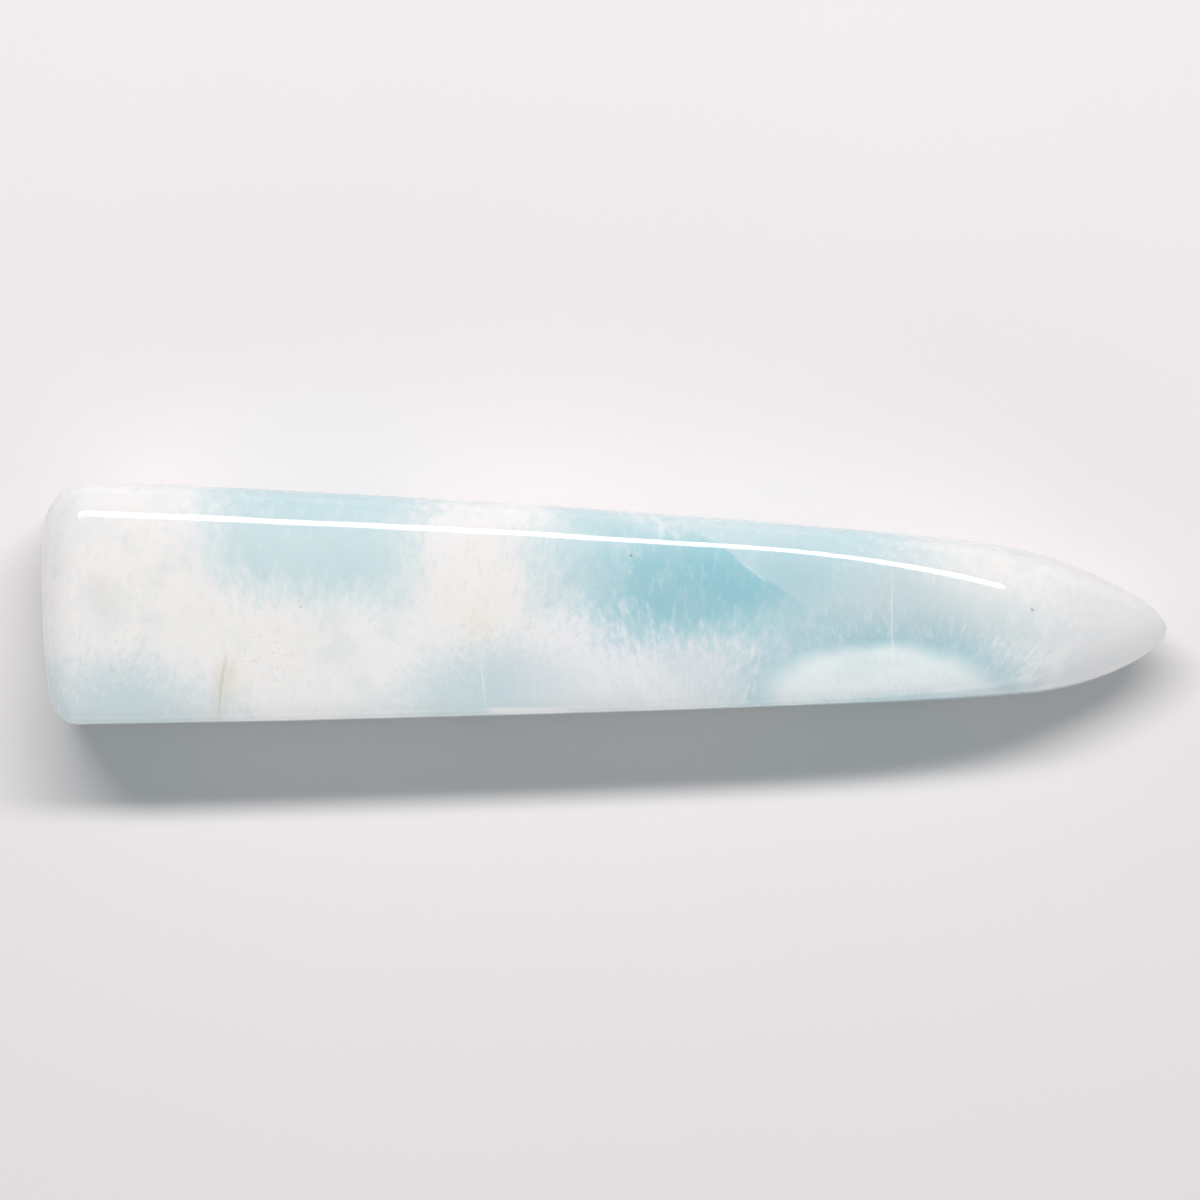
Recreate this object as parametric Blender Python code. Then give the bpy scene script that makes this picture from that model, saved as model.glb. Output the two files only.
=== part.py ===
"""A polished larimar massage wand, modelled as one closed stone.

The wand lies on its flat underside with its axis along +X. The broad end is at -X and the rounded
point at +X. Its section is a square with soft corners that turns round towards the point. In plan
the stone narrows evenly, then closes in a pointed nose. From the side it keeps almost the
thickness of the slab that it was cut from.
"""

import math

import bmesh
import bpy

# Driving dimensions of the stone, in metres.
LENGTH = 0.0950
BASE_WIDTH = 0.02066
BASE_THICKNESS = 0.0156
SHOULDER_AT = 0.076
SHOULDER_WIDTH = 0.01375
SHOULDER_THICKNESS = 0.0139
SIDE_CROWN = 0.00073

# The nose: its diameter at 10 mm from the point, how fast it opens, and how tight the shoulder is.
NOSE_GAUGE = 0.010
NOSE_DIAMETER_AT_GAUGE = 0.0117
NOSE_POWER = 0.565
SHOULDER_TIGHTNESS = 10.6

# The point sits a little to one side, and the body bows slightly the other way.
POINT_OFFSET = -0.00045
POINT_OFFSET_FROM = 0.078
POINT_OFFSET_TO = 0.091
BODY_BOW = 0.00020

# The section is a superellipse: nearly square along the body and an ellipse at the point.
BODY_EXPONENT = 5.2
POINT_EXPONENT = 2.0
ROUNDING_FROM = 0.060
ROUNDING_TO = 0.092

# The underside is lapped flat to this depth, which leaves the land that the wand rests on.
LAND_DEPTH = 0.00005

# The broad end: a gently convex face whose crest is off centre, and the radius of its rim.
END_CROWN_RADIUS = 0.079
END_CREST_Y = 0.004
RIM_RADIUS = 0.0029
RIM_RADIUS_SKEW = 0.0010

# Mesh density of the solid.
SIDES = 56
CORNER_CROWDING = 0.45
FACE_RINGS = (0.30, 0.60, 0.82)
RIM_STEPS = 6
BODY_RINGS = 22
NOSE_RINGS = 16
NOSE_FROM = 0.75


def blend(low, high, share):
    """Mix low and high by share, eased at both ends and held outside 0 to 1."""
    share = min(max(share, 0.0), 1.0)
    return low + (high - low) * share * share * (3.0 - 2.0 * share)


def soft_minimum(first, second):
    """Give the smaller of two positive sizes, rounded where they are nearly equal."""
    power = -SHOULDER_TIGHTNESS
    return (first**power + second**power) ** (1.0 / power)


def nose_size(station):
    """Give the full size of the nose at a distance from the broad end."""
    from_point = max(LENGTH - station, 0.0)
    return NOSE_DIAMETER_AT_GAUGE * (from_point / NOSE_GAUGE) ** NOSE_POWER


def body_size(station, at_base, at_shoulder, crown):
    """Give a straight taper from the base to the shoulder, with its sides crowned outwards."""
    share = station / SHOULDER_AT
    return at_base + (at_shoulder - at_base) * share + 4.0 * crown * share * (1.0 - share)


def half_width(station):
    """Give half of the width across Y."""
    body = body_size(station, BASE_WIDTH, SHOULDER_WIDTH, SIDE_CROWN)
    return 0.5 * soft_minimum(body, nose_size(station))


def half_thickness(station):
    """Give half of the thickness along Z, before the underside is lapped."""
    body = body_size(station, BASE_THICKNESS, SHOULDER_THICKNESS, 0.0)
    return 0.5 * soft_minimum(body, nose_size(station))


def axis_height(station):
    """Give the height of the section's middle, which is the middle of the slab."""
    return 0.5 * body_size(station, BASE_THICKNESS, SHOULDER_THICKNESS, 0.0)


def axis_side(station):
    """Give the sideways place of the section's middle."""
    bow = BODY_BOW * math.sin(math.pi * station / LENGTH)
    share = (station - POINT_OFFSET_FROM) / (POINT_OFFSET_TO - POINT_OFFSET_FROM)
    return bow + blend(0.0, POINT_OFFSET, share)


def section_exponent(station):
    """Give the superellipse exponent, which falls to that of an ellipse at the point."""
    share = (station - ROUNDING_FROM) / (ROUNDING_TO - ROUNDING_FROM)
    return blend(BODY_EXPONENT, POINT_EXPONENT, share)


def section_directions():
    """Give the directions round a section as (cosine, sine), crowded towards its corners."""
    directions = []
    for index in range(SIDES):
        turn = 2.0 * math.pi * index / SIDES
        angle = turn + 0.25 * CORNER_CROWDING * math.sin(4.0 * turn)
        directions.append((math.cos(angle), math.sin(angle)))
    return directions


def section_point(station, direction, inset=0.0):
    """Give the (y, z) of a point of the section, whose half sizes are made smaller by inset."""
    across, up = direction
    exponent = section_exponent(station)
    reach = (abs(across) ** exponent + abs(up) ** exponent) ** (-1.0 / exponent)
    side = axis_side(station) + (half_width(station) - inset) * reach * across
    height = axis_height(station) + (half_thickness(station) - inset) * reach * up
    return side, max(height, LAND_DEPTH) - LAND_DEPTH


def end_face_station(side, height):
    """Give the station of the broad end's convex face at a place of that face."""
    off_crest = (side - END_CREST_Y) ** 2 + (height - axis_height(0.0)) ** 2
    return off_crest / (2.0 * END_CROWN_RADIUS)


def rim_radius(direction):
    """Give the rim's radius in a direction: it is larger on the +Y side."""
    return RIM_RADIUS + RIM_RADIUS_SKEW * direction[0]


def rim_end(direction):
    """Give the station where the rim runs out into the side of the body."""
    radius = rim_radius(direction)
    return radius + end_face_station(*section_point(radius, direction))


def rim_ring(directions, share):
    """Give one ring of the rounded rim, from the end face at 0 to the side at 1."""
    ring = []
    turn = 0.5 * math.pi * share
    for direction in directions:
        radius = rim_radius(direction)
        inset = radius * (1.0 - math.sin(turn))
        side, height = section_point(rim_end(direction), direction, inset)
        station = end_face_station(side, height)
        ring.append((station + (rim_end(direction) - station) * (1.0 - math.cos(turn)), side, height))
    return ring


def face_ring(rim, share):
    """Give a ring of the end face, scaled from the rim's inner ring towards its middle."""
    middle_side = axis_side(0.0)
    middle_height = axis_height(0.0)
    ring = []
    for _, side, height in rim:
        side = middle_side + (side - middle_side) * share
        height = middle_height + (height - middle_height) * share
        ring.append((end_face_station(side, height), side, height))
    return ring


def body_ring(directions, share):
    """Give a ring of the body, at a share of the way from the rim's end to the point."""
    ring = []
    for direction in directions:
        station = rim_end(direction) + (LENGTH - rim_end(direction)) * share
        ring.append((station, *section_point(station, direction)))
    return ring


def all_rings():
    """Give every ring of the stone in order, from the end face to the point."""
    directions = section_directions()
    rim = [rim_ring(directions, step / RIM_STEPS) for step in range(RIM_STEPS + 1)]
    rings = [face_ring(rim[0], share) for share in FACE_RINGS] + rim
    for step in range(1, BODY_RINGS + 1):
        rings.append(body_ring(directions, NOSE_FROM * step / BODY_RINGS))
    for step in range(1, NOSE_RINGS):
        share = 1.0 - (1.0 - step / NOSE_RINGS) ** 2
        rings.append(body_ring(directions, NOSE_FROM + (1.0 - NOSE_FROM) * share))
    return rings


def loft(mesh_name):
    """Join the rings into one closed mesh whose origin is below the middle of the stone."""
    shape = bmesh.new()
    rings = [[shape.verts.new((s - 0.5 * LENGTH, y, z)) for s, y, z in ring] for ring in all_rings()]
    side, height = axis_side(0.0), axis_height(0.0)
    start = shape.verts.new((end_face_station(side, height) - 0.5 * LENGTH, side, height))
    point = shape.verts.new((0.5 * LENGTH, axis_side(LENGTH), axis_height(LENGTH) - LAND_DEPTH))
    for index in range(SIDES):
        after = (index + 1) % SIDES
        shape.faces.new((start, rings[0][after], rings[0][index]))
        shape.faces.new((point, rings[-1][index], rings[-1][after]))
        for near, far in zip(rings, rings[1:]):
            shape.faces.new((near[index], near[after], far[after], far[index]))
    bmesh.ops.recalc_face_normals(shape, faces=shape.faces)
    mesh = bpy.data.meshes.new(mesh_name)
    shape.to_mesh(mesh)
    shape.free()
    return mesh


def larimar_material():
    """Make the pale sky-blue of polished larimar."""
    material = bpy.data.materials.new("larimar")
    material.use_nodes = True
    shader = material.node_tree.nodes["Principled BSDF"]
    shader.inputs["Base Color"].default_value = (0.66, 0.80, 0.84, 1.0)
    shader.inputs["Roughness"].default_value = 0.08
    shader.inputs["Metallic"].default_value = 0.0
    return material


def main():
    """Clear the scene and build the wand in its own collection."""
    for leftover in list(bpy.data.objects):
        bpy.data.objects.remove(leftover, do_unlink=True)
    collection = bpy.data.collections.new("larimar_massage_wand")
    bpy.context.scene.collection.children.link(collection)
    mesh = loft("wand")
    mesh.shade_smooth()
    mesh.set_sharp_from_angle(angle=math.radians(40.0))
    mesh.materials.append(larimar_material())
    collection.objects.link(bpy.data.objects.new("wand", mesh))


main()
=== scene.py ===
"""A polished larimar massage wand, dressed and lit on pale paper.

The stone's surface is laid out by Geometry Nodes from the rule that its solid follows, with named
inputs for every size. The larimar is worked out inside the stone: pools of blue, white fibre
clusters, an arch round a pale lens, hairline cracks and specks all have a place in millimetres, so
the pattern runs on over the sides, the broad end and the underside.
"""

import logging
import math
from dataclasses import dataclass, fields
from enum import Enum
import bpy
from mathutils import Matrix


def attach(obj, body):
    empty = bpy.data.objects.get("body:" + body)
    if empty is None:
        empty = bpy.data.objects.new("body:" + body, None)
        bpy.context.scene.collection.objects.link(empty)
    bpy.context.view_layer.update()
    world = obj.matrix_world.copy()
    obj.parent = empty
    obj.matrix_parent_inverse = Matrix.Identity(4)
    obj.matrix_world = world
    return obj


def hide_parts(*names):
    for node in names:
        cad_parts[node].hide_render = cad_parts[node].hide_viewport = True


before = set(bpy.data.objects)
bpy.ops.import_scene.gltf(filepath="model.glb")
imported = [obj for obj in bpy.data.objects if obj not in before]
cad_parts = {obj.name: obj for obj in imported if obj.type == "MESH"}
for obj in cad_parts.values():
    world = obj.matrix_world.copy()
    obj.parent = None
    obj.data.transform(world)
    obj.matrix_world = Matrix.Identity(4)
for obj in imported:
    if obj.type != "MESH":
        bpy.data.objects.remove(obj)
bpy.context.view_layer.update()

from types import SimpleNamespace
from typing import Any, Union

import bpy
from mathutils import Euler, Vector

log = logging.getLogger("wand")

MILLIMETRES = 1000.0

# The straight border of the deep core: a point of its plane, in millimetres, and the way it faces.
CORE_BORDER_AT = (13.0, 3.15, 12.0)
CORE_BORDER_WAY = (0.61, 0.79, 0.0)

Number = Union["Value", float]
Triple = tuple[float, float, float]


def srgb(red: int, green: int, blue: int) -> Triple:
    """Turn a colour as a screen shows it, 0 to 255, into linear light.

    Args:
        red: The red part.
        green: The green part.
        blue: The blue part.

    Returns:
        The linear colour, 0 to 1.
    """
    shares = (red / 255.0, green / 255.0, blue / 255.0)
    return tuple(c / 12.92 if c <= 0.04045 else ((c + 0.055) / 1.055) ** 2.4 for c in shares)


class Value:
    """A number on its way through a node tree. Its operators add Math nodes."""

    def __init__(self, board: "Board", socket: bpy.types.NodeSocket) -> None:
        """Wrap an output socket of a board's tree."""
        self.board = board
        self.socket = socket

    def __add__(self, other: Number) -> "Value":
        """Add."""
        return self.board.math("ADD", self, other)

    def __radd__(self, other: Number) -> "Value":
        """Add to a plain number."""
        return self.board.math("ADD", other, self)

    def __sub__(self, other: Number) -> "Value":
        """Subtract."""
        return self.board.math("SUBTRACT", self, other)

    def __rsub__(self, other: Number) -> "Value":
        """Subtract from a plain number."""
        return self.board.math("SUBTRACT", other, self)

    def __mul__(self, other: Number) -> "Value":
        """Multiply."""
        return self.board.math("MULTIPLY", self, other)

    def __rmul__(self, other: Number) -> "Value":
        """Multiply a plain number."""
        return self.board.math("MULTIPLY", other, self)

    def __truediv__(self, other: Number) -> "Value":
        """Divide."""
        return self.board.math("DIVIDE", self, other)

    def __rtruediv__(self, other: Number) -> "Value":
        """Divide a plain number."""
        return self.board.math("DIVIDE", other, self)

    def __pow__(self, other: Number) -> "Value":
        """Raise to a power."""
        return self.board.math("POWER", self, other)

    def __abs__(self) -> "Value":
        """Drop the sign."""
        return self.board.math("ABSOLUTE", self)


class Board:
    """A node tree that is being wired."""

    COLUMNS = 16
    STEP = (190.0, -260.0)

    def __init__(self, tree: bpy.types.NodeTree) -> None:
        """Take a tree whose nodes have been cleared."""
        self.tree = tree

    def node(
        self, kind: str, settings: dict[str, Any] | None = None, sockets: dict[Any, Any] | None = None
    ) -> bpy.types.Node:
        """Add any node.

        Args:
            kind: The node's type.
            settings: Its own settings by name, which are set first.
            sockets: What its inputs get, by name or number: plain values, sockets or Values.

        Returns:
            The node.
        """
        made = self.tree.nodes.new(kind)
        placed = len(self.tree.nodes) - 1
        made.location = (self.STEP[0] * (placed % self.COLUMNS), self.STEP[1] * (placed // self.COLUMNS))
        for name, setting in (settings or {}).items():
            setattr(made, name, setting)
        for key, given in (sockets or {}).items():
            self.feed(made.inputs[key], given)
        return made

    def feed(self, socket: bpy.types.NodeSocket, given: Any) -> None:
        """Give an input a link or a plain value.

        Args:
            socket: The input.
            given: A Value, an output socket, a number, or a triple that may be a colour.
        """
        if isinstance(given, Value):
            given = given.socket
        if isinstance(given, bpy.types.NodeSocket):
            self.tree.links.new(given, socket)
        elif socket.type == "RGBA":
            socket.default_value = (*given, 1.0)
        else:
            socket.default_value = given

    def math(self, operation: str, *given: Number) -> Value:
        """Give the result of a Math node."""
        made = self.node("ShaderNodeMath", {"operation": operation}, dict(enumerate(given)))
        return Value(self, made.outputs[0])

    def vector(self, operation: str, *given: Any, scale: Number | None = None) -> Any:
        """Give the output socket of a Vector Math node.

        Args:
            operation: The node's operation.
            *given: The vectors.
            scale: The factor, for SCALE alone.

        Returns:
            The vector output, or a Value for LENGTH and DOT_PRODUCT.
        """
        made = self.node("ShaderNodeVectorMath", {"operation": operation}, dict(enumerate(given)))
        if scale is not None:
            self.feed(made.inputs["Scale"], scale)
        if operation in ("LENGTH", "DOT_PRODUCT"):
            return Value(self, made.outputs["Value"])
        return made.outputs["Vector"]

    def join(self, x: Number, y: Number, z: Number) -> bpy.types.NodeSocket:
        """Join three numbers into a vector."""
        return self.node("ShaderNodeCombineXYZ", None, {"X": x, "Y": y, "Z": z}).outputs["Vector"]

    def split(self, vector: Any) -> tuple[Value, Value, Value]:
        """Split a vector into its three numbers."""
        made = self.node("ShaderNodeSeparateXYZ", None, {"Vector": vector})
        return tuple(Value(self, output) for output in made.outputs)

    def ease(self, given: Number, low: Number, high: Number) -> Value:
        """Rise smoothly from 0 at low to 1 at high, and stay there on both sides.

        Args:
            given: The value.
            low: Where the rise starts, which may be the higher number.
            high: Where it ends.

        Returns:
            The eased share, 0 to 1.
        """
        made = self.node(
            "ShaderNodeMapRange",
            {"interpolation_type": "SMOOTHSTEP"},
            {"Value": given, "From Min": low, "From Max": high, "To Min": 0.0, "To Max": 1.0},
        )
        return Value(self, made.outputs["Result"])

    def mix(self, share: Number, under: Any, over: Any) -> bpy.types.NodeSocket:
        """Lay one colour over another.

        Args:
            share: How much of the upper colour shows, 0 to 1.
            under: The lower colour.
            over: The upper colour.

        Returns:
            The mixed colour.
        """
        made = self.node("ShaderNodeMix", {"data_type": "RGBA", "clamp_factor": True})
        # A Mix node has a Factor, A and B for every data type: these are the colour ones.
        self.feed(made.inputs[0], share)
        self.feed(made.inputs[6], under)
        self.feed(made.inputs[7], over)
        return made.outputs[2]

    def noise(
        self, vector: Any, scale: float, detail: float = 2.0, roughness: float = 0.5, w: Number = 0.0
    ) -> Value:
        """Give smooth noise about 0.5.

        Args:
            vector: Where it is read.
            scale: Its lumps per unit of length.
            detail: How many finer layers it has.
            roughness: How strong the finer layers are.
            w: The fourth coordinate in lumps, which is also its fixed seed.

        Returns:
            The noise.
        """
        made = self.node(
            "ShaderNodeTexNoise",
            {"noise_dimensions": "4D"},
            {"Vector": vector, "W": w / scale, "Scale": scale, "Detail": detail, "Roughness": roughness},
        )
        return Value(self, made.outputs[0])


class SurfaceRule:
    """The rule of the stone's surface, written as nodes on the tree's named sizes.

    A station is a distance from the broad end along the axis. A direction is the cosine and sine
    of a place's angle round the section.
    """

    def __init__(self, board: Board, size: SimpleNamespace) -> None:
        """Take the board and the named sizes as Values."""
        self.board = board
        self.size = size

    def soft_minimum(self, body: Value, nose: Value) -> Value:
        """Give the smaller of two sizes, rounded where they are nearly equal.

        Args:
            body: The body's size.
            nose: The nose's size.

        Returns:
            The rounded smaller size.
        """
        tightness = self.size.shoulder_tightness
        return nose * (1.0 + (nose / body) ** tightness) ** (-1.0 / tightness)

    def nose_size(self, station: Value) -> Value:
        """Give the full size of the nose at a station."""
        size = self.size
        from_point = self.board.math("MAXIMUM", size.length - station, 0.0)
        return size.nose_diameter * (from_point / size.nose_gauge) ** size.nose_power

    def body_size(self, station: Value, at_base: Value, at_shoulder: Value, crown: Number) -> Value:
        """Give the straight taper from base to shoulder, with its sides crowned outwards.

        Args:
            station: The distance from the broad end.
            at_base: The size at the broad end.
            at_shoulder: The size at the shoulder.
            crown: How far the sides swell midway.

        Returns:
            The full size.
        """
        share = station / self.size.shoulder_at
        return at_base + (at_shoulder - at_base) * share + 4.0 * crown * share * (1.0 - share)

    def half_width(self, station: Value) -> Value:
        """Give half of the width across Y."""
        size = self.size
        body = self.body_size(station, size.base_width, size.shoulder_width, size.side_crown)
        return 0.5 * self.soft_minimum(body, self.nose_size(station))

    def half_thickness(self, station: Value) -> Value:
        """Give half of the thickness along Z."""
        size = self.size
        body = self.body_size(station, size.base_thickness, size.shoulder_thickness, 0.0)
        return 0.5 * self.soft_minimum(body, self.nose_size(station))

    def axis_height(self, station: Number) -> Value:
        """Give the height of the section's middle."""
        size = self.size
        share = station / size.shoulder_at
        return 0.5 * (size.base_thickness + (size.shoulder_thickness - size.base_thickness) * share)

    def axis_side(self, station: Number) -> Value:
        """Give the sideways place of the section's middle."""
        size = self.size
        bow = size.body_bow * self.board.math("SINE", math.pi * (station / size.length))
        return bow + size.point_offset * self.board.ease(station, size.offset_from, size.offset_to)

    def section(self, station: Value, direction: tuple[Value, Value], inset: Value) -> tuple:
        """Give the side and height of a place of the section.

        Args:
            station: Where the section is.
            direction: The cosine and sine of the place's angle.
            inset: How much smaller the half sizes are.

        Returns:
            The side and the height, with the underside lapped flat.
        """
        size = self.size
        across, up = direction
        rounding = self.board.ease(station, size.rounding_from, size.rounding_to)
        tight_share = self.board.ease(across, size.tight_from, size.tight_to)
        along_body = size.body_exponent + (size.tight_exponent - size.body_exponent) * tight_share
        exponent = along_body + (size.point_exponent - along_body) * rounding
        reach = (abs(across) ** exponent + abs(up) ** exponent) ** (-1.0 / exponent)
        side = self.axis_side(station) + (self.half_width(station) - inset) * reach * across
        height = self.axis_height(station) + (self.half_thickness(station) - inset) * reach * up
        return side, self.board.math("MAXIMUM", height, size.land_depth) - size.land_depth

    def end_face(self, side: Value, height: Value) -> Value:
        """Give the station of the broad end's convex face.

        Args:
            side: A place's side.
            height: Its height.

        Returns:
            The station there.
        """
        size = self.size
        off_crest = (side - size.end_crest_side) ** 2.0 + (height - 0.5 * size.base_thickness) ** 2.0
        return off_crest / (2.0 * size.end_crown_radius)

    def place(self, direction: tuple[Value, Value], face: Value, turn: Value, share: Value) -> tuple:
        """Give the place of a point of the surface.

        Args:
            direction: The cosine and sine of its angle round the axis.
            face: How far it is from the middle of the end face, 1 from the rim on.
            turn: Its angle round the rim, from 0 on the end face to a right angle on the side.
            share: How far it is along the body, 0 up to the rim and 1 at the point.

        Returns:
            Its station, side and height.
        """
        size = self.size
        radius = size.rim_radius + size.rim_skew * direction[0]
        rim_end = radius + self.end_face(*self.section(radius, direction, 0.0 * radius))
        run = rim_end + (size.length - rim_end) * share
        inset = radius * (1.0 - self.board.math("SINE", turn))
        side, height = self.section(run, direction, inset)
        middle_side, middle_height = self.axis_side(0.0 * run), self.axis_height(0.0 * run)
        side = middle_side + (side - middle_side) * face
        height = middle_height + (height - middle_height) * face
        lean = self.board.math("COSINE", turn)
        return self.end_face(side, height) * lean + run * (1.0 - lean), side, height


@dataclass
class Wand:
    """The whole stone, in one piece.

    Its float fields are the named inputs of its node tree: lengths in metres, exponents and shares.
    The polish fades in between two shares of the thickness, above the flat underside.
    """

    length: float = 0.0950
    base_width: float = 0.02066
    base_thickness: float = 0.0156
    shoulder_at: float = 0.076
    shoulder_width: float = 0.01375
    shoulder_thickness: float = 0.0139
    side_crown: float = 0.00073
    nose_gauge: float = 0.010
    nose_diameter: float = 0.0117
    nose_power: float = 0.565
    shoulder_tightness: float = 10.6
    point_offset: float = -0.00045
    offset_from: float = 0.078
    offset_to: float = 0.091
    body_bow: float = 0.00020
    body_exponent: float = 5.2
    tight_exponent: float = 12.0
    tight_from: float = -0.20
    tight_to: float = -0.75
    point_exponent: float = 2.0
    rounding_from: float = 0.060
    rounding_to: float = 0.092
    land_depth: float = 0.00005
    end_crown_radius: float = 0.079
    end_crest_side: float = 0.004
    rim_radius: float = 0.0029
    rim_skew: float = 0.0010
    corner_crowding: float = 0.45
    face_share: float = 0.06
    rim_share: float = 0.14
    point_crowding: float = 1.6
    polish_depth: float = 0.00005
    polish_spacing: float = 0.011
    polish_seed: float = 3.0
    polish_fades: tuple[float, float] = (0.1, 0.3)
    rings: int = 430
    segments: int = 208
    node: str = "wand"

    def build(self, material: bpy.types.Material) -> bpy.types.Object:
        """Make the stone and dress it.

        Args:
            material: The larimar.

        Returns:
            The finished piece, riding on the body and standing for the CAD node.
        """
        mesh = self.evaluated_mesh(self.tree(material))
        mesh.shade_smooth()
        stone = bpy.data.objects.new("larimar_wand", mesh)
        bpy.context.scene.collection.objects.link(stone)
        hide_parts(self.node)
        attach(stone, "root")
        log.info("stone: %d faces, %.1f mm long", len(mesh.polygons), self.length * MILLIMETRES)
        return stone

    def sizes(self) -> dict[str, float]:
        """Give the float fields by name."""
        return {f.name: getattr(self, f.name) for f in fields(self) if f.type in (float, "float")}

    def evaluated_mesh(self, tree: bpy.types.NodeTree) -> bpy.types.Mesh:
        """Run the tree on an empty mesh and keep what it makes.

        Args:
            tree: The stone's node tree.

        Returns:
            A plain mesh.
        """
        carrier = bpy.data.objects.new("stone_carrier", bpy.data.meshes.new("stone_carrier"))
        bpy.context.scene.collection.objects.link(carrier)
        modifier = carrier.modifiers.new("stone", "NODES")
        modifier.node_group = tree
        values = self.sizes()
        for item in tree.interface.items_tree:
            if item.item_type == "SOCKET" and item.in_out == "INPUT" and item.name in values:
                modifier[item.identifier] = values[item.name]
        graph = bpy.context.evaluated_depsgraph_get()
        mesh = bpy.data.meshes.new_from_object(carrier.evaluated_get(graph))
        carrier.modifiers.remove(modifier)
        bpy.data.objects.remove(carrier)
        return mesh

    def tree(self, material: bpy.types.Material) -> bpy.types.NodeTree:
        """Wire the Geometry Nodes that lay the surface out.

        Args:
            material: What Set Material gives it.

        Returns:
            The tree, with one named input for each size.
        """
        tree = bpy.data.node_groups.new("larimar_wand_surface", "GeometryNodeTree")
        for name in self.sizes():
            tree.interface.new_socket(name, in_out="INPUT", socket_type="NodeSocketFloat")
        tree.interface.new_socket("Geometry", in_out="OUTPUT", socket_type="NodeSocketGeometry")
        board = Board(tree)
        entry = board.node("NodeGroupInput")
        size = SimpleNamespace(**{name: Value(board, entry.outputs[name]) for name in self.sizes()})
        ball = board.node(
            "GeometryNodeMeshUVSphere", None, {"Segments": self.segments, "Rings": self.rings, "Radius": 1.0}
        )
        laid = board.node(
            "GeometryNodeSetPosition",
            None,
            {"Geometry": ball.outputs["Mesh"], "Position": self.surface(board, size)},
        )
        polished = board.node(
            "GeometryNodeSetPosition",
            None,
            {"Geometry": laid.outputs["Geometry"], "Offset": self.hand_polish(board, size)},
        )
        real = board.node("GeometryNodeRealizeInstances", None, {0: polished.outputs["Geometry"]})
        dressed = board.node(
            "GeometryNodeSetMaterial", None, {"Geometry": real.outputs[0], "Material": material}
        )
        board.node("NodeGroupOutput", None, {"Geometry": dressed.outputs["Geometry"]})
        return tree

    def surface(self, board: Board, size: SimpleNamespace) -> bpy.types.NodeSocket:
        """Turn each place of a unit ball into its place on the stone.

        Args:
            board: The tree's board.
            size: The named sizes.

        Returns:
            The position, in metres.
        """
        x, y, z = board.split(board.node("GeometryNodeInputPosition").outputs["Position"])
        along = board.math("ARCCOSINE", z) / math.pi
        around = board.math("ARCTAN2", y, x)
        angle = around + 0.25 * size.corner_crowding * board.math("SINE", 4.0 * around)
        direction = (board.math("COSINE", angle), board.math("SINE", angle))
        face = board.math("MINIMUM", along / size.face_share, 1.0)
        rim = self.clamp(board, (along - size.face_share) / (size.rim_share - size.face_share))
        body = self.clamp(board, (along - size.rim_share) / (1.0 - size.rim_share))
        share = 1.0 - (1.0 - body) ** size.point_crowding
        rule = SurfaceRule(board, size)
        station, side, height = rule.place(direction, face, 0.5 * math.pi * rim, share)
        return board.join(station - 0.5 * size.length, side, height)

    @staticmethod
    def clamp(board: Board, given: Value) -> Value:
        """Hold a value between 0 and 1."""
        return board.math("MINIMUM", board.math("MAXIMUM", given, 0.0), 1.0)

    def hand_polish(self, board: Board, size: SimpleNamespace) -> bpy.types.NodeSocket:
        """Give the slight waves that polishing by hand leaves, and none on the flat underside.

        Args:
            board: The tree's board.
            size: The named sizes.

        Returns:
            The offset along the normal, in metres.
        """
        position = board.node("GeometryNodeInputPosition").outputs["Position"]
        normal = board.node("GeometryNodeInputNormal").outputs["Normal"]
        spaced = board.vector("SCALE", position, scale=1.0 / size.polish_spacing)
        waves = board.noise(spaced, 1.0, 1.0, 0.4, size.polish_seed)
        flat, waved = (share * size.base_thickness for share in self.polish_fades)
        above = board.ease(board.split(position)[2], flat, waved)
        return board.vector("SCALE", normal, scale=(waves - 0.5) * 2.0 * size.polish_depth * above)


class Edge(Enum):
    """How a pool of colour ends: half its fading edge, and how far the fibres comb it, in millimetres."""

    MISTY = (3.4, 1.3)
    BRUSHED = (2.5, 1.4)
    FEATHERED = (2.4, 1.8)
    SOFT = (0.8, 0.3)
    CRISP = (0.06, 0.0)


class Form(Enum):
    """The shape of a pool: round like an egg, or fuller, like a cushion."""

    ROUND = "round"
    FULL = "full"


class Tint(Enum):
    """The colours that the stone has, as linear light."""

    WHITE = srgb(243, 245, 245)
    CREAM = srgb(245, 244, 241)
    TAN = srgb(206, 196, 172)
    OLIVE = srgb(186, 182, 158)
    ORANGE = srgb(238, 216, 192)
    LAVENDER = srgb(238, 240, 244)
    GREY_WHITE = srgb(234, 235, 236)
    GREY_BLUE = srgb(209, 223, 226)
    PALE_TEAL = srgb(213, 231, 234)
    SKY = srgb(199, 225, 230)
    TEAL = srgb(184, 217, 224)
    DEEP = srgb(163, 212, 221)
    DEEPEST = srgb(154, 206, 217)
    ARCH = srgb(171, 208, 217)
    LENS = srgb(235, 246, 247)
    GRAPHITE = srgb(60, 66, 70)


@dataclass(frozen=True)
class Pool:
    """A body of one colour inside the stone, in millimetres from the stone's origin.

    Where it is cut, a plane through cut_at takes away the side that cut_way faces.
    """

    tint: Tint
    centre: Triple
    radii: Triple
    share: float = 1.0
    edge: Edge = Edge.BRUSHED
    turn: float = 0.0
    form: Form = Form.ROUND
    cut_at: Triple | None = None
    cut_way: Triple | None = None


@dataclass(frozen=True)
class Sheet:
    """A thin layer in the stone, such as a crack, a vein or a band of painted glow, in millimetres.

    It lies through its centre, at right angles to facing, and shows inside the ellipsoid of its
    radii. Its bow is how far it wanders from its plane.
    """

    tint: Tint
    centre: Triple
    facing: Triple
    half_thickness: float
    radii: Triple
    share: float = 1.0
    bow: float = 0.0


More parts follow.
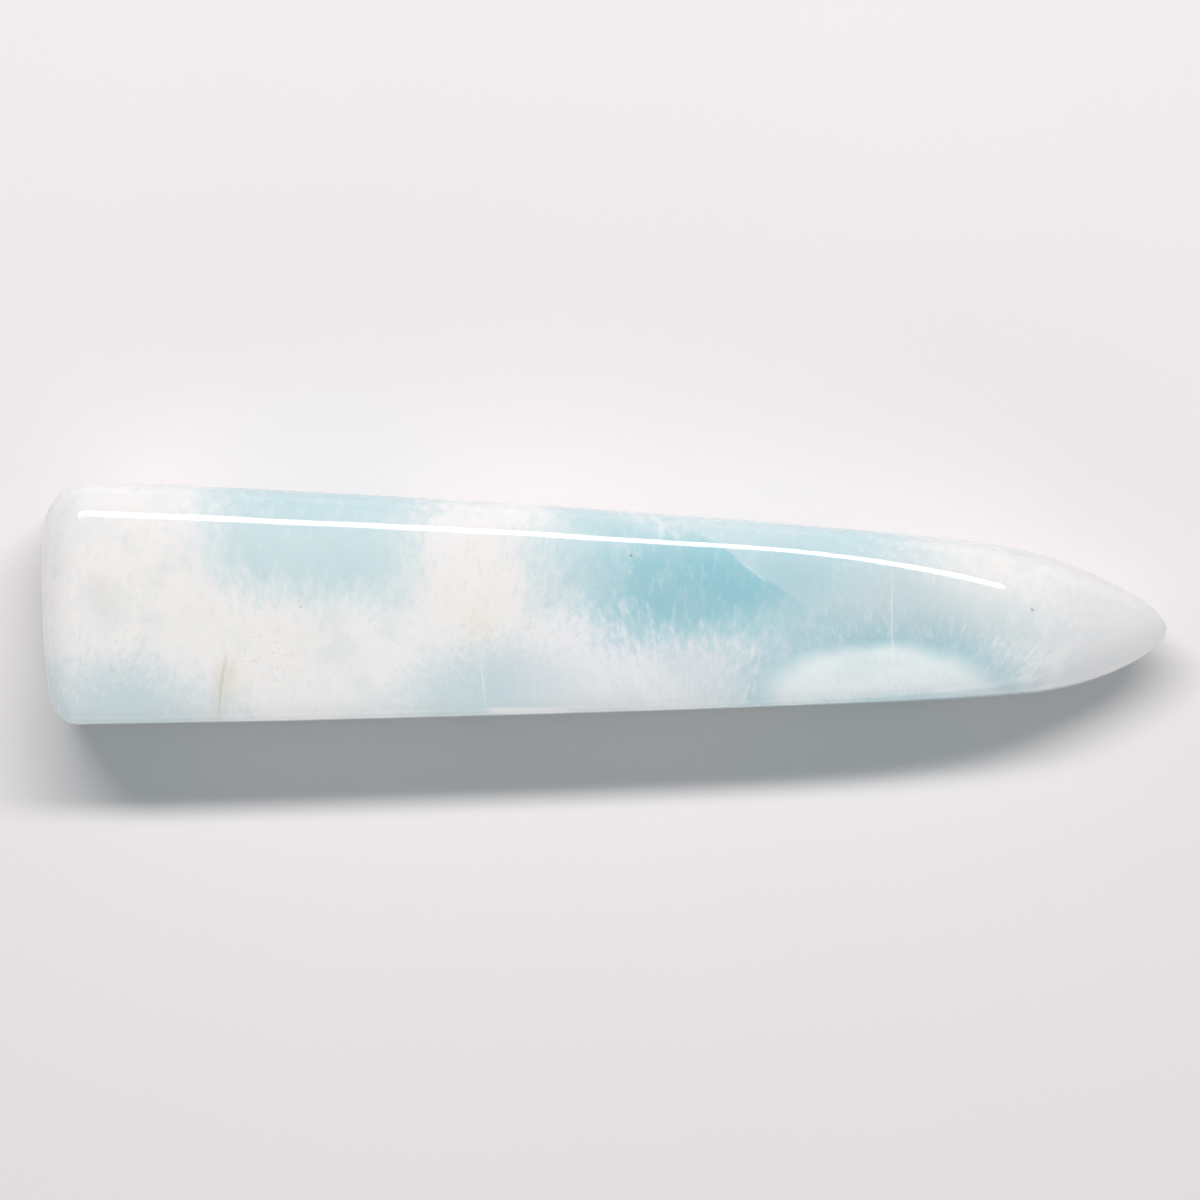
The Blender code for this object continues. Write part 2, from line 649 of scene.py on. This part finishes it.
@dataclass(frozen=True)
class Freckles:
    """A cloud of small specks, in millimetres.

    Its rarity is the height of the noise above which a speck shows.
    """

    tint: Tint
    centre: Triple
    radii: Triple
    size: float
    rarity: float
    share: float = 1.0


@dataclass(frozen=True)
class Cluster:
    """A bundle of fibres that fan out from its root, and the middle of the stretch of X it fills."""

    root: Triple
    middle: float


@dataclass(frozen=True)
class Larimar:
    """The finish of the stone: where its pools, fibres, cracks and specks are, in millimetres.

    Fibres have so many turns, or lumps per radian round their root, and runs, or lumps per
    millimetre along them. A comb is how strongly they move a pool's edge. Drifts, clouds, bows and
    dull places have lumps per millimetre. A range or fade is where something starts and ends, and a
    share is how much of it shows. The light's reach inside the stone is in metres.
    """

    name: str = "larimar_polished"
    roughness: float = 0.07
    subsurface: float = 1.0
    light_reach: float = 0.008
    tuft_turns: float = 36.0
    hair_turns: float = 110.0
    tuft_run: float = 0.62
    hair_run: float = 0.95
    crossfade: float = 4.0
    index: float = 1.6
    spread: Triple = (1.0, 1.0, 1.0)
    hair_seed: float = 40.0
    tuft_comb: float = 2.4
    hair_comb: float = 0.9
    drift_lumps: float = 0.12
    drift_depth: float = 2.6
    cloud_lumps: float = 0.22
    cloud_seed: float = 4.0
    cloud_range: tuple[float, float] = (0.46, 0.68)
    cloud_share: float = 0.30
    white_range: tuple[float, float] = (0.05, 0.70)
    white_share: float = 0.20
    grey_range: tuple[float, float] = (0.00, -0.55)
    grey_share: float = 0.22
    cut_softness: float = 0.15
    bow_lumps: float = 0.2
    sheet_heart: float = 0.3
    sheet_fade: tuple[float, float] = (1.1, 0.7)
    speck_seed: float = 17.0
    speck_softness: float = 0.08
    speck_fade: tuple[float, float] = (1.1, 0.5)
    dull_lumps: float = 0.35
    dull_seed: float = 9.0
    dull_depth: float = 0.06
    clusters: tuple[Cluster, ...] = (
        Cluster((-43.0, -17.0, 8.0), -42.0),
        Cluster((-26.0, -20.0, 8.0), -26.0),
        Cluster((-9.8, -13.0, 9.0), -10.0),
        Cluster((7.0, -20.0, 8.0), 7.0),
        Cluster((24.0, -14.0, 9.0), 24.0),
    )
    pools: tuple[Pool, ...] = (
        # Warm whites, from the broad end to the ridge between the two blue pools.
        Pool(Tint.CREAM, (-41.0, 1.6, 13.0), (9.0, 7.0, 9.0), 0.9, Edge.MISTY),
        Pool(Tint.CREAM, (-28.0, -3.5, 13.0), (8.0, 5.5, 9.0), 0.8, Edge.MISTY),
        Pool(Tint.CREAM, (-10.8, 2.4, 13.0), (5.0, 5.0, 8.0), 0.9, Edge.MISTY),
        Pool(Tint.ORANGE, (-41.8, 1.0, 15.0), (0.9, 1.9, 4.0), 0.16, Edge.SOFT),
        Pool(Tint.ORANGE, (-10.7, -0.8, 15.0), (1.0, 1.3, 3.0), 0.18, Edge.SOFT),
        # The first pool, which runs over the +Y edge.
        Pool(Tint.PALE_TEAL, (-24.8, 8.2, 10.0), (8.8, 7.4, 10.0), 1.0, Edge.FEATHERED, -4.0, Form.FULL),
        Pool(Tint.TEAL, (-23.8, 10.6, 8.5), (10.2, 3.6, 8.0), 0.9, Edge.BRUSHED),
        # The blue-grey pool of the -Y corner at the broad end.
        Pool(Tint.GREY_BLUE, (-41.0, -10.2, 10.0), (10.0, 6.8, 9.5), 1.0, Edge.BRUSHED),
        Pool(Tint.TEAL, (-40.5, -9.0, 10.0), (4.6, 2.6, 7.0), 0.18, Edge.BRUSHED),
        # The tan blotch on the vein beside it.
        Pool(Tint.TAN, (-30.9, -6.7, 14.0), (1.3, 1.5, 5.0), 0.14, Edge.SOFT),
        # The fan that opens towards +Y in the middle of the -Y edge, and the grey band beside it.
        Pool(Tint.GREY_BLUE, (-9.6, -9.8, 12.0), (7.2, 6.8, 9.0), 0.78, Edge.MISTY),
        Pool(Tint.TEAL, (-8.0, -6.6, 13.0), (2.4, 1.8, 5.0), 0.55, Edge.BRUSHED),
        Pool(Tint.SKY, (-12.6, -7.4, 13.0), (2.8, 1.6, 5.0), 0.55, Edge.BRUSHED),
        Pool(Tint.GREY_BLUE, (-2.6, -6.4, 12.0), (5.6, 2.2, 7.0), 0.9, Edge.BRUSHED, -18.0),
        # The lavender white beyond the fan, which greys towards the arch.
        Pool(Tint.LAVENDER, (3.5, -3.6, 13.0), (8.5, 4.4, 8.0), 0.8, Edge.MISTY),
        Pool(Tint.GREY_BLUE, (9.6, -5.4, 13.0), (5.0, 3.4, 8.0), 0.6, Edge.MISTY),
        # The mid blue from the second pool to the shoulder, and its dim wedges by the +Y edge.
        Pool(Tint.PALE_TEAL, (-1.4, 4.6, 12.0), (5.2, 4.4, 8.0), 1.0, Edge.FEATHERED),
        Pool(Tint.SKY, (13.5, 3.6, 10.0), (15.5, 6.6, 12.0), 0.9, Edge.FEATHERED, -4.0),
        Pool(Tint.GREY_BLUE, (27.5, 0.8, 11.0), (10.0, 3.7, 9.0), 0.9, Edge.BRUSHED, -8.0),
        Pool(Tint.TEAL, (-0.6, 7.6, 12.0), (4.6, 1.3, 5.0), 0.60, Edge.SOFT, -23.0),
        Pool(Tint.TEAL, (20.6, 6.9, 11.0), (3.4, 1.0, 5.0), 0.50, Edge.SOFT, -4.0),
        Pool(Tint.TEAL, (15.4, 3.5, 12.0), (3.4, 2.8, 6.0), 0.70, Edge.BRUSHED),
        # The deep core, which stops at a straight slanting border.
        Pool(
            Tint.DEEP, (8.2, 2.7, 12.0), (7.6, 3.7, 6.5), 0.97, Edge.FEATHERED, 11.0, Form.FULL,
            CORE_BORDER_AT, CORE_BORDER_WAY,
        ),
        Pool(
            Tint.DEEPEST, (6.4, 2.4, 12.0), (3.6, 2.2, 5.0), 0.20, Edge.BRUSHED, -14.0, Form.ROUND,
            CORE_BORDER_AT, CORE_BORDER_WAY,
        ),
        # The arch round the pale lens at the -Y edge, and the darker strip below the lens.
        Pool(Tint.ARCH, (23.2, -7.4, 12.0), (11.9, 7.0, 10.0), 0.95, Edge.BRUSHED),
        Pool(Tint.LENS, (23.2, -6.6, 12.0), (9.4, 4.5, 8.0), 1.0, Edge.SOFT),
        Pool(Tint.ARCH, (24.8, -8.2, 12.0), (10.5, 1.9, 6.0), 0.9, Edge.SOFT, 3.0),
        # The grey-blue +Y edge of the shoulder, its warm patch and the grey-white point.
        Pool(Tint.GREY_BLUE, (33.0, 8.4, 9.0), (17.0, 2.2, 8.0), 0.9, Edge.BRUSHED, -9.0),
        Pool(Tint.CREAM, (33.6, 4.4, 12.0), (5.6, 2.9, 7.0), 0.7, Edge.MISTY, -14.0),
        Pool(Tint.GREY_WHITE, (47.5, 0.0, 7.0), (12.0, 9.0, 9.0), 0.9, Edge.BRUSHED),
        # Single dark grains.
        Pool(Tint.GRAPHITE, (1.6, 4.9, 15.0), (0.12, 0.12, 3.0), 0.45, Edge.CRISP),
        Pool(Tint.GRAPHITE, (35.5, 1.0, 13.0), (0.13, 0.13, 3.0), 0.50, Edge.CRISP),
        Pool(Tint.GRAPHITE, (-25.6, 0.1, 15.0), (0.10, 0.10, 3.0), 0.25, Edge.CRISP),
    )
    sheets: tuple[Sheet, ...] = (
        # The long pale crack across the arch, and the cracks and strokes of the fan.
        Sheet(Tint.WHITE, (23.9, -0.5, 8.0), (1.0, 0.0, 0.0), 0.14, (9.0, 6.0, 9.0), 0.45, 0.5),
        Sheet(Tint.WHITE, (-10.2, -5.7, 8.0), (0.99, 0.12, 0.0), 0.12, (9.0, 3.0, 9.0), 0.55, 0.2),
        Sheet(Tint.WHITE, (-7.2, -6.7, 10.0), (1.0, 0.0, 0.0), 0.14, (9.0, 1.0, 6.0), 0.30, 0.2),
        Sheet(Tint.WHITE, (-5.9, -6.6, 10.0), (1.0, 0.0, 0.0), 0.12, (9.0, 1.2, 6.0), 0.28, 0.2),
        # The painted glow below the fan: a white band along the -Y edge that stands in for light shining
        # through the rim and reflected off it.
        Sheet(Tint.WHITE, (-6.4, -8.3, 13.0), (0.0, 1.0, 0.0), 0.45, (3.8, 9.0, 6.0), 0.85, 0.2),
        # The vein and its dark heart.
        Sheet(Tint.TAN, (-31.9, -7.0, 10.0), (0.989, -0.146, 0.0), 1.30, (9.0, 3.6, 9.0), 0.20, 0.9),
        Sheet(Tint.OLIVE, (-31.8, -6.6, 10.0), (0.989, -0.146, 0.0), 0.20, (9.0, 3.4, 9.0), 0.28, 1.3),
        # The glint at the upper end of the deep core's slanting border.
        Sheet(Tint.WHITE, (12.0, 3.9, 13.0), CORE_BORDER_WAY, 0.20, (1.8, 1.8, 5.0), 0.32, 0.1),
    )
    freckles: tuple[Freckles, ...] = (
        Freckles(Tint.GRAPHITE, (-27.8, -4.2, 14.0), (3.4, 3.0, 4.0), 0.13, 0.61, 0.15),
    )

    def build(self) -> bpy.types.Material:
        """Wire the material.

        Returns:
            The larimar.
        """
        material = bpy.data.materials.new(self.name)
        material.use_nodes = True
        material.node_tree.nodes.clear()
        board = Board(material.node_tree)
        seat = board.node("ShaderNodeTexCoord").outputs["Object"]
        place = board.vector("SCALE", seat, scale=MILLIMETRES)
        shader = board.node(
            "ShaderNodeBsdfPrincipled",
            None,
            {
                "Base Color": self.colour(board, place),
                "Roughness": self.gloss(board, place),
                "Subsurface Weight": self.subsurface,
                "Subsurface Radius": self.spread,
                "Subsurface Scale": self.light_reach,
                "IOR": self.index,
            },
        )
        board.node("ShaderNodeOutputMaterial", None, {"Surface": shader.outputs[0]})
        log.info("larimar: %d pools, %d fibre clusters", len(self.pools), len(self.clusters))
        return material

    def fibres(self, board: Board, place: Any) -> tuple[Value, Value]:
        """Give the fans of fibres as noise that is drawn out away from each cluster's root.

        Args:
            board: The material's board.
            place: The place in the stone, in millimetres.

        Returns:
            The tufts and the single hairs, each about 0.
        """
        x = board.split(place)[0]
        shares = self.cluster_shares(board, x)
        tuft, hair = 0.0, 0.0
        for cluster, share in zip(self.clusters, shares):
            away = board.vector("SUBTRACT", place, cluster.root)
            reach = board.vector("LENGTH", away)
            heading = board.vector("NORMALIZE", away)
            tufts = board.noise(heading, self.tuft_turns, 2.0, 0.6, reach * self.tuft_run)
            hairs = board.noise(heading, self.hair_turns, 1.0, 0.5, reach * self.hair_run + self.hair_seed)
            tuft = tuft + (tufts - 0.5) * share
            hair = hair + (hairs - 0.5) * share
        return tuft, hair

    def cluster_shares(self, board: Board, x: Value) -> list[Value]:
        """Give how much each cluster fills a place, which sums to 1 along X.

        Args:
            board: The material's board.
            x: The place's X, in millimetres.

        Returns:
            One share for each cluster.
        """
        steps = []
        for near, far in zip(self.clusters, self.clusters[1:]):
            border = 0.5 * (near.middle + far.middle)
            steps.append(board.ease(x, border - self.crossfade, border + self.crossfade))
        before = [1.0, *steps]
        after = [*steps, 0.0]
        return [start - end for start, end in zip(before, after)]

    def colour(self, board: Board, place: Any) -> bpy.types.NodeSocket:
        """Lay the pools over one another, combed by the fibres, then clouds, flecks, cracks, veins, painted
        glows and glints, and specks.

        Args:
            board: The material's board.
            place: The place in the stone, in millimetres.

        Returns:
            The base colour.
        """
        tuft, hair = self.fibres(board, place)
        moved = self.drifted(board, place, self.drift_lumps, self.drift_depth)
        comb = self.tuft_comb * tuft + self.hair_comb * hair
        colour = Tint.WHITE.value
        for pool in self.pools:
            colour = board.mix(self.cover(board, pool, moved, comb), colour, pool.tint.value)
        lumps = board.noise(moved, self.cloud_lumps, 3.0, 0.6, self.cloud_seed)
        clouds = board.ease(lumps, *self.cloud_range)
        colour = board.mix(clouds * self.cloud_share, colour, Tint.GREY_BLUE.value)
        white, grey = board.ease(comb, *self.white_range), board.ease(comb, *self.grey_range)
        colour = board.mix(white * self.white_share, colour, Tint.WHITE.value)
        colour = board.mix(grey * self.grey_share, colour, Tint.GREY_BLUE.value)
        for sheet in self.sheets:
            colour = board.mix(self.sheet_cover(board, sheet, place), colour, sheet.tint.value)
        for cloud in self.freckles:
            colour = board.mix(self.freckle_cover(board, cloud, place), colour, cloud.tint.value)
        return colour

    @staticmethod
    def drifted(board: Board, place: Any, lumps: float, depth: float) -> bpy.types.NodeSocket:
        """Push places about softly, so that no pool keeps a plain outline.

        Args:
            board: The material's board.
            place: The place, in millimetres.
            lumps: Lumps of the push per millimetre.
            depth: How far it pushes at most, about, in millimetres.

        Returns:
            The pushed place.
        """
        push = board.node(
            "ShaderNodeTexNoise",
            {"noise_dimensions": "3D"},
            {"Vector": place, "Scale": lumps, "Detail": 3.0, "Roughness": 0.55},
        ).outputs["Color"]
        push = board.vector("SCALE", board.vector("SUBTRACT", push, (0.5, 0.5, 0.5)), scale=depth)
        return board.vector("ADD", place, push)

    @staticmethod
    def seat_in(board: Board, place: Any, centre: Triple, radii: Triple, turn: float = 0.0) -> Any:
        """Give a place from an ellipsoid's middle, in its radii.

        Args:
            board: The material's board.
            place: The place, in millimetres.
            centre: The ellipsoid's middle.
            radii: Its radii.
            turn: Its turn about Z, in degrees.

        Returns:
            The place's vector, 1 long on the ellipsoid.
        """
        return board.node(
            "ShaderNodeMapping",
            {"vector_type": "TEXTURE"},
            {
                "Vector": place,
                "Location": centre,
                "Rotation": Euler((0.0, 0.0, math.radians(turn))),
                "Scale": radii,
            },
        ).outputs["Vector"]

    def cover(self, board: Board, pool: Pool, place: Any, comb: Value) -> Value:
        """Give how much a pool covers a place.

        Args:
            board: The material's board.
            pool: The pool.
            place: The place, already drifted.
            comb: The fibres that comb its edge.

        Returns:
            The cover, from 0 to the pool's share.
        """
        seat = self.seat_in(board, place, pool.centre, pool.radii, pool.turn)
        if pool.form is Form.FULL:
            out = board.vector("LENGTH", board.vector("MULTIPLY", seat, seat)) ** 0.5
        else:
            out = board.vector("LENGTH", seat)
        narrow = min(pool.radii[:2])
        width, combed = (size / narrow for size in pool.edge.value)
        cover = pool.share * board.ease(out + combed * comb, 1.0 + width, 1.0 - width)
        if pool.cut_at is None:
            return cover
        beyond = board.vector("DOT_PRODUCT", board.vector("SUBTRACT", place, pool.cut_at), pool.cut_way)
        return cover * board.ease(beyond, self.cut_softness, -self.cut_softness)

    def sheet_cover(self, board: Board, sheet: Sheet, place: Any) -> Value:
        """Give how much a crack, a vein or a painted glow or glint covers a place.

        Args:
            board: The material's board.
            sheet: The crack, the vein, or the painted glow or glint.
            place: The place, in millimetres.

        Returns:
            The cover, from 0 to the sheet's share.
        """
        bent = self.drifted(board, place, self.bow_lumps, sheet.bow)
        off = board.vector("DOT_PRODUCT", board.vector("SUBTRACT", bent, sheet.centre), sheet.facing)
        inside = board.vector("LENGTH", self.seat_in(board, place, sheet.centre, sheet.radii))
        near = board.ease(abs(off), sheet.half_thickness, self.sheet_heart * sheet.half_thickness)
        return sheet.share * near * board.ease(inside, *self.sheet_fade)

    def freckle_cover(self, board: Board, cloud: Freckles, place: Any) -> Value:
        """Give how much a cloud of specks covers a place.

        Args:
            board: The material's board.
            cloud: The specks.
            place: The place, in millimetres.

        Returns:
            The cover, from 0 to the cloud's share.
        """
        inside = board.vector("LENGTH", self.seat_in(board, place, cloud.centre, cloud.radii))
        specks = board.noise(place, 0.5 / cloud.size, 1.0, 0.5, self.speck_seed)
        found = board.ease(specks, cloud.rarity, cloud.rarity + self.speck_softness)
        return cloud.share * found * board.ease(inside, *self.speck_fade)

    def gloss(self, board: Board, place: Any) -> Value:
        """Give the roughness: a high polish with faint dull drifts."""
        drift = board.noise(place, self.dull_lumps, 3.0, 0.6, self.dull_seed)
        return self.roughness + (drift - 0.5) * self.dull_depth


@dataclass(frozen=True)
class Paper:
    """The finish of the floor: white paper with a faint tooth."""

    name: str = "white_paper"
    light: Triple = srgb(243, 241, 241)
    dark: Triple = srgb(239, 238, 239)
    cloud_size: float = 0.03
    tooth_size: float = 0.0006
    cloud_share: float = 0.7
    roughness: float = 0.9
    shine: float = 0.2

    def build(self) -> bpy.types.Material:
        """Wire the material.

        Returns:
            The paper.
        """
        material = bpy.data.materials.new(self.name)
        material.use_nodes = True
        material.node_tree.nodes.clear()
        board = Board(material.node_tree)
        seat = board.node("ShaderNodeTexCoord").outputs["Object"]
        clouds = board.noise(seat, 1.0 / self.cloud_size, 3.0, 0.5, 1.0)
        tooth = board.noise(seat, 1.0 / self.tooth_size, 2.0, 0.6, 5.0)
        shade = self.cloud_share * clouds + (1.0 - self.cloud_share) * tooth
        shader = board.node(
            "ShaderNodeBsdfPrincipled",
            None,
            {
                "Base Color": board.mix(shade, self.light, self.dark),
                "Roughness": self.roughness,
                "Specular IOR Level": self.shine,
            },
        )
        board.node("ShaderNodeOutputMaterial", None, {"Surface": shader.outputs[0]})
        return material


@dataclass
class Studio:
    """The paper floor, the light and the camera, in metres, watts and degrees."""

    floor_size: float = 3.0
    strip_size: tuple[float, float] = (0.43, 0.048)
    strip_distance: float = 0.45
    strip_elevation: float = 62.6
    strip_power: float = 1.70
    strip_colour: Triple = (1.0, 0.93, 0.92)
    card_size: tuple[float, float] = (0.80, 0.36)
    card_distance: float = 0.50
    card_elevation: float = 14.0
    card_power: float = 0.75
    card_colour: Triple = (1.0, 1.0, 1.0)
    room_colour: Triple = (0.96, 1.06, 1.10)
    room_strength: float = 0.24
    camera_side: tuple[float, float] = (-0.00054, 0.00110)
    camera_height: float = 0.507
    camera_turn: float = 1.13
    frame_width: float = 0.10153
    framed_height: float = 0.0073
    sensor: float = 36.0
    clip: tuple[float, float] = (0.01, 10.0)

    def build(self, paper: bpy.types.Material) -> None:
        """Make everything round the stone.

        Args:
            paper: The floor's material.
        """
        self.floor(paper)
        self.panel(
            "strip_softbox", self.strip_size, self.strip_distance, self.strip_elevation,
            self.strip_power, self.strip_colour,
        )
        self.panel(
            "white_card", self.card_size, self.card_distance, 180.0 - self.card_elevation,
            self.card_power, self.card_colour,
        )
        self.room()
        self.camera()
        bpy.context.scene.view_settings.view_transform = "Standard"

    def floor(self, paper: bpy.types.Material) -> bpy.types.Object:
        """Lay the paper, level with the stone's underside.

        Args:
            paper: Its material.

        Returns:
            The floor, which isn't part of the object.
        """
        half = 0.5 * self.floor_size
        mesh = bpy.data.meshes.new("paper_floor")
        corners = [(-half, -half, 0.0), (half, -half, 0.0), (half, half, 0.0), (-half, half, 0.0)]
        mesh.from_pydata(corners, [], [(0, 1, 2, 3)])
        mesh.materials.append(paper)
        floor = bpy.data.objects.new("paper_floor", mesh)
        bpy.context.scene.collection.objects.link(floor)
        log.info("floor: %.1f m wide", self.floor_size)
        return floor

    def panel(
        self, name: str, size: tuple[float, float], distance: float, elevation: float, power: float,
        colour: Triple,
    ) -> bpy.types.Object:
        """Hang a flat light that faces the stone.

        Args:
            name: Its name.
            size: Its length along X and its height, in metres.
            distance: How far it is from the stone.
            elevation: Its angle above the paper, from the +Y side: past 90 it stands on the -Y side.
            power: Its power in watts.
            colour: Its colour.

        Returns:
            The light.
        """
        lamp = bpy.data.lights.new(name, "AREA")
        lamp.shape = "RECTANGLE"
        lamp.size, lamp.size_y = size
        lamp.energy = power
        lamp.color = colour
        light = bpy.data.objects.new(name, lamp)
        bpy.context.scene.collection.objects.link(light)
        rise = math.radians(elevation)
        light.location = Vector((0.0, math.cos(rise), math.sin(rise))) * distance
        light.rotation_euler = (rise - 0.5 * math.pi, 0.0, 0.0)
        log.info("light %s: %.2f by %.2f m", name, *size)
        return light

    def room(self) -> None:
        """Fill the room with even, slightly cool light."""
        world = bpy.data.worlds.new("pale_room")
        world.use_nodes = True
        world.node_tree.nodes.clear()
        board = Board(world.node_tree)
        glow = board.node(
            "ShaderNodeBackground", None, {"Color": self.room_colour, "Strength": self.room_strength}
        )
        board.node("ShaderNodeOutputWorld", None, {"Surface": glow.outputs[0]})
        bpy.context.scene.world = world

    def camera(self) -> bpy.types.Object:
        """Set the camera straight above the stone.

        Returns:
            The camera.
        """
        lens = bpy.data.cameras.new("overhead_camera")
        lens.sensor_width = self.sensor
        lens.lens = self.sensor * (self.camera_height - self.framed_height) / self.frame_width
        lens.clip_start, lens.clip_end = self.clip
        camera = bpy.data.objects.new("overhead_camera", lens)
        bpy.context.scene.collection.objects.link(camera)
        camera.location = (*self.camera_side, self.camera_height)
        camera.rotation_euler = (0.0, 0.0, math.radians(self.camera_turn))
        bpy.context.scene.camera = camera
        log.info("camera: %.0f mm lens, %.2f m above the paper", lens.lens, self.camera_height)
        return camera


def main() -> None:
    """Build the stone and the studio round it."""
    logging.basicConfig(level=logging.INFO, format="%(name)s: %(message)s")
    Wand().build(Larimar().build())
    Studio().build(Paper().build())


if __name__ == "__main__":
    main()
